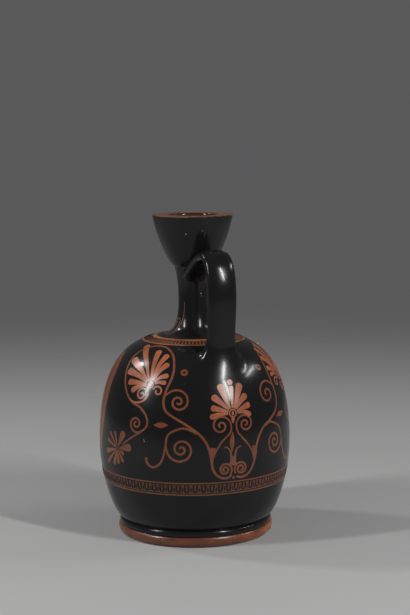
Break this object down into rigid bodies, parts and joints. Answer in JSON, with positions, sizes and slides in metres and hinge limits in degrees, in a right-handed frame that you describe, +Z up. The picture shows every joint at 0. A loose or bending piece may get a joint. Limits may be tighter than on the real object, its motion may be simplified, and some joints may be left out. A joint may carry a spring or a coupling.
{
  "type": "squat lekythos",
  "caption": "Ceramic oil jug with a round belly, slim neck, cup mouth, ring foot and a strap handle, black gloss with reserved palmettes, scrolls and egg bands.",
  "frame": {"origin": "on the axis, under the middle of the foot, on the surface that the jug stands on", "axes": "+Z up along the axis of the jug, +X from the axis towards the strap handle, +Y completes the right-handed frame"},
  "size_m": [0.1204, 0.1204, 0.2],
  "materials": {
    "black_gloss": "glossy black fired slip with small pits and worn spots",
    "bare_clay": "matt orange-red fired clay, worn",
    "fired_slip": "matt dark fired slip in the joints"
  },
  "bodies": {
    "root": {"foot": "bare_clay", "foot_slip": "fired_slip", "body": "black_gloss", "neck_slip": "fired_slip", "neck": "black_gloss", "mouth_slip": "fired_slip", "mouth": "black_gloss", "handle": "black_gloss", "handle_upper_slip": "fired_slip", "handle_lower_slip": "fired_slip"}
  },
  "joints": []
}
